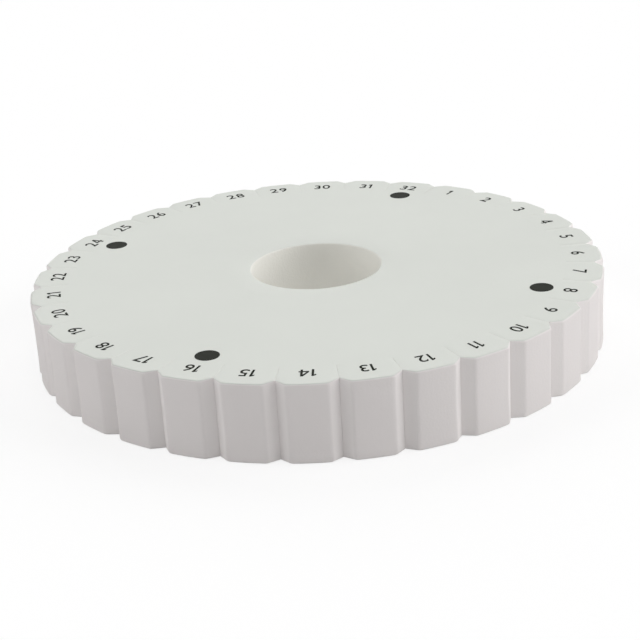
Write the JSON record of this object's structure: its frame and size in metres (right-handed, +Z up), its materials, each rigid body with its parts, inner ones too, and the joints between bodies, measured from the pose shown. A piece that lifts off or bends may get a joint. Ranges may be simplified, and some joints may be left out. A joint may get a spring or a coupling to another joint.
{
  "type": "kumihimo braiding disk",
  "caption": "Round white foam braiding disk with a centre hole, numbered rim tabs parted by slits that grip cords, and quarter-mark dots.",
  "frame": {"origin": "centre of the underside, on the axis of the centre hole", "axes": "+Z up along the hole; +Y towards tab 32 (the north dot), +X towards tab 8 (the east dot)"},
  "size_m": [0.1524, 0.1524, 0.0201],
  "materials": {
    "foam": "matte closed-cell foam",
    "ink": "matte printed ink"
  },
  "bodies": {
    "core": {"disk_core": "foam", "dot_north": "ink", "dot_east": "ink", "dot_south": "ink", "dot_west": "ink"},
    "tab_01": {"tab_01": "foam"},
    "tab_02": {"tab_02": "foam"},
    "tab_03": {"tab_03": "foam"},
    "tab_04": {"tab_04": "foam"},
    "tab_05": {"tab_05": "foam"},
    "tab_06": {"tab_06": "foam"},
    "tab_07": {"tab_07": "foam"},
    "tab_08": {"tab_08": "foam"},
    "tab_09": {"tab_09": "foam"},
    "tab_10": {"tab_10": "foam"},
    "tab_11": {"tab_11": "foam"},
    "tab_12": {"tab_12": "foam"},
    "tab_13": {"tab_13": "foam"},
    "tab_14": {"tab_14": "foam"},
    "tab_15": {"tab_15": "foam"},
    "tab_16": {"tab_16": "foam"},
    "tab_17": {"tab_17": "foam"},
    "tab_18": {"tab_18": "foam"},
    "tab_19": {"tab_19": "foam"},
    "tab_20": {"tab_20": "foam"},
    "tab_21": {"tab_21": "foam"},
    "tab_22": {"tab_22": "foam"},
    "tab_23": {"tab_23": "foam"},
    "tab_24": {"tab_24": "foam"},
    "tab_25": {"tab_25": "foam"},
    "tab_26": {"tab_26": "foam"},
    "tab_27": {"tab_27": "foam"},
    "tab_28": {"tab_28": "foam"},
    "tab_29": {"tab_29": "foam"},
    "tab_30": {"tab_30": "foam"},
    "tab_31": {"tab_31": "foam"},
    "tab_32": {"tab_32": "foam"}
  },
  "joints": [
    {"name": "tab_01_press", "type": "slide", "parent": "core", "child": "tab_01", "axis": [0, 0, 1], "range_m": [-0.0015, 0.0015], "stiffness_N_per_m": 5000},
    {"name": "tab_02_press", "type": "slide", "parent": "core", "child": "tab_02", "axis": [0, 0, 1], "range_m": [-0.0015, 0.0015], "stiffness_N_per_m": 5000},
    {"name": "tab_03_press", "type": "slide", "parent": "core", "child": "tab_03", "axis": [0, 0, 1], "range_m": [-0.0015, 0.0015], "stiffness_N_per_m": 5000},
    {"name": "tab_04_press", "type": "slide", "parent": "core", "child": "tab_04", "axis": [0, 0, 1], "range_m": [-0.0015, 0.0015], "stiffness_N_per_m": 5000},
    {"name": "tab_05_press", "type": "slide", "parent": "core", "child": "tab_05", "axis": [0, 0, 1], "range_m": [-0.0015, 0.0015], "stiffness_N_per_m": 5000},
    {"name": "tab_06_press", "type": "slide", "parent": "core", "child": "tab_06", "axis": [0, 0, 1], "range_m": [-0.0015, 0.0015], "stiffness_N_per_m": 5000},
    {"name": "tab_07_press", "type": "slide", "parent": "core", "child": "tab_07", "axis": [0, 0, 1], "range_m": [-0.0015, 0.0015], "stiffness_N_per_m": 5000},
    {"name": "tab_08_press", "type": "slide", "parent": "core", "child": "tab_08", "axis": [0, 0, 1], "range_m": [-0.0015, 0.0015], "stiffness_N_per_m": 5000},
    {"name": "tab_09_press", "type": "slide", "parent": "core", "child": "tab_09", "axis": [0, 0, 1], "range_m": [-0.0015, 0.0015], "stiffness_N_per_m": 5000},
    {"name": "tab_10_press", "type": "slide", "parent": "core", "child": "tab_10", "axis": [0, 0, 1], "range_m": [-0.0015, 0.0015], "stiffness_N_per_m": 5000},
    {"name": "tab_11_press", "type": "slide", "parent": "core", "child": "tab_11", "axis": [0, 0, 1], "range_m": [-0.0015, 0.0015], "stiffness_N_per_m": 5000},
    {"name": "tab_12_press", "type": "slide", "parent": "core", "child": "tab_12", "axis": [0, 0, 1], "range_m": [-0.0015, 0.0015], "stiffness_N_per_m": 5000},
    {"name": "tab_13_press", "type": "slide", "parent": "core", "child": "tab_13", "axis": [0, 0, 1], "range_m": [-0.0015, 0.0015], "stiffness_N_per_m": 5000},
    {"name": "tab_14_press", "type": "slide", "parent": "core", "child": "tab_14", "axis": [0, 0, 1], "range_m": [-0.0015, 0.0015], "stiffness_N_per_m": 5000},
    {"name": "tab_15_press", "type": "slide", "parent": "core", "child": "tab_15", "axis": [0, 0, 1], "range_m": [-0.0015, 0.0015], "stiffness_N_per_m": 5000},
    {"name": "tab_16_press", "type": "slide", "parent": "core", "child": "tab_16", "axis": [0, 0, 1], "range_m": [-0.0015, 0.0015], "stiffness_N_per_m": 5000},
    {"name": "tab_17_press", "type": "slide", "parent": "core", "child": "tab_17", "axis": [0, 0, 1], "range_m": [-0.0015, 0.0015], "stiffness_N_per_m": 5000},
    {"name": "tab_18_press", "type": "slide", "parent": "core", "child": "tab_18", "axis": [0, 0, 1], "range_m": [-0.0015, 0.0015], "stiffness_N_per_m": 5000},
    {"name": "tab_19_press", "type": "slide", "parent": "core", "child": "tab_19", "axis": [0, 0, 1], "range_m": [-0.0015, 0.0015], "stiffness_N_per_m": 5000},
    {"name": "tab_20_press", "type": "slide", "parent": "core", "child": "tab_20", "axis": [0, 0, 1], "range_m": [-0.0015, 0.0015], "stiffness_N_per_m": 5000},
    {"name": "tab_21_press", "type": "slide", "parent": "core", "child": "tab_21", "axis": [0, 0, 1], "range_m": [-0.0015, 0.0015], "stiffness_N_per_m": 5000},
    {"name": "tab_22_press", "type": "slide", "parent": "core", "child": "tab_22", "axis": [0, 0, 1], "range_m": [-0.0015, 0.0015], "stiffness_N_per_m": 5000},
    {"name": "tab_23_press", "type": "slide", "parent": "core", "child": "tab_23", "axis": [0, 0, 1], "range_m": [-0.0015, 0.0015], "stiffness_N_per_m": 5000},
    {"name": "tab_24_press", "type": "slide", "parent": "core", "child": "tab_24", "axis": [0, 0, 1], "range_m": [-0.0015, 0.0015], "stiffness_N_per_m": 5000},
    {"name": "tab_25_press", "type": "slide", "parent": "core", "child": "tab_25", "axis": [0, 0, 1], "range_m": [-0.0015, 0.0015], "stiffness_N_per_m": 5000},
    {"name": "tab_26_press", "type": "slide", "parent": "core", "child": "tab_26", "axis": [0, 0, 1], "range_m": [-0.0015, 0.0015], "stiffness_N_per_m": 5000},
    {"name": "tab_27_press", "type": "slide", "parent": "core", "child": "tab_27", "axis": [0, 0, 1], "range_m": [-0.0015, 0.0015], "stiffness_N_per_m": 5000},
    {"name": "tab_28_press", "type": "slide", "parent": "core", "child": "tab_28", "axis": [0, 0, 1], "range_m": [-0.0015, 0.0015], "stiffness_N_per_m": 5000},
    {"name": "tab_29_press", "type": "slide", "parent": "core", "child": "tab_29", "axis": [0, 0, 1], "range_m": [-0.0015, 0.0015], "stiffness_N_per_m": 5000},
    {"name": "tab_30_press", "type": "slide", "parent": "core", "child": "tab_30", "axis": [0, 0, 1], "range_m": [-0.0015, 0.0015], "stiffness_N_per_m": 5000},
    {"name": "tab_31_press", "type": "slide", "parent": "core", "child": "tab_31", "axis": [0, 0, 1], "range_m": [-0.0015, 0.0015], "stiffness_N_per_m": 5000},
    {"name": "tab_32_press", "type": "slide", "parent": "core", "child": "tab_32", "axis": [0, 0, 1], "range_m": [-0.0015, 0.0015], "stiffness_N_per_m": 5000}
  ]
}
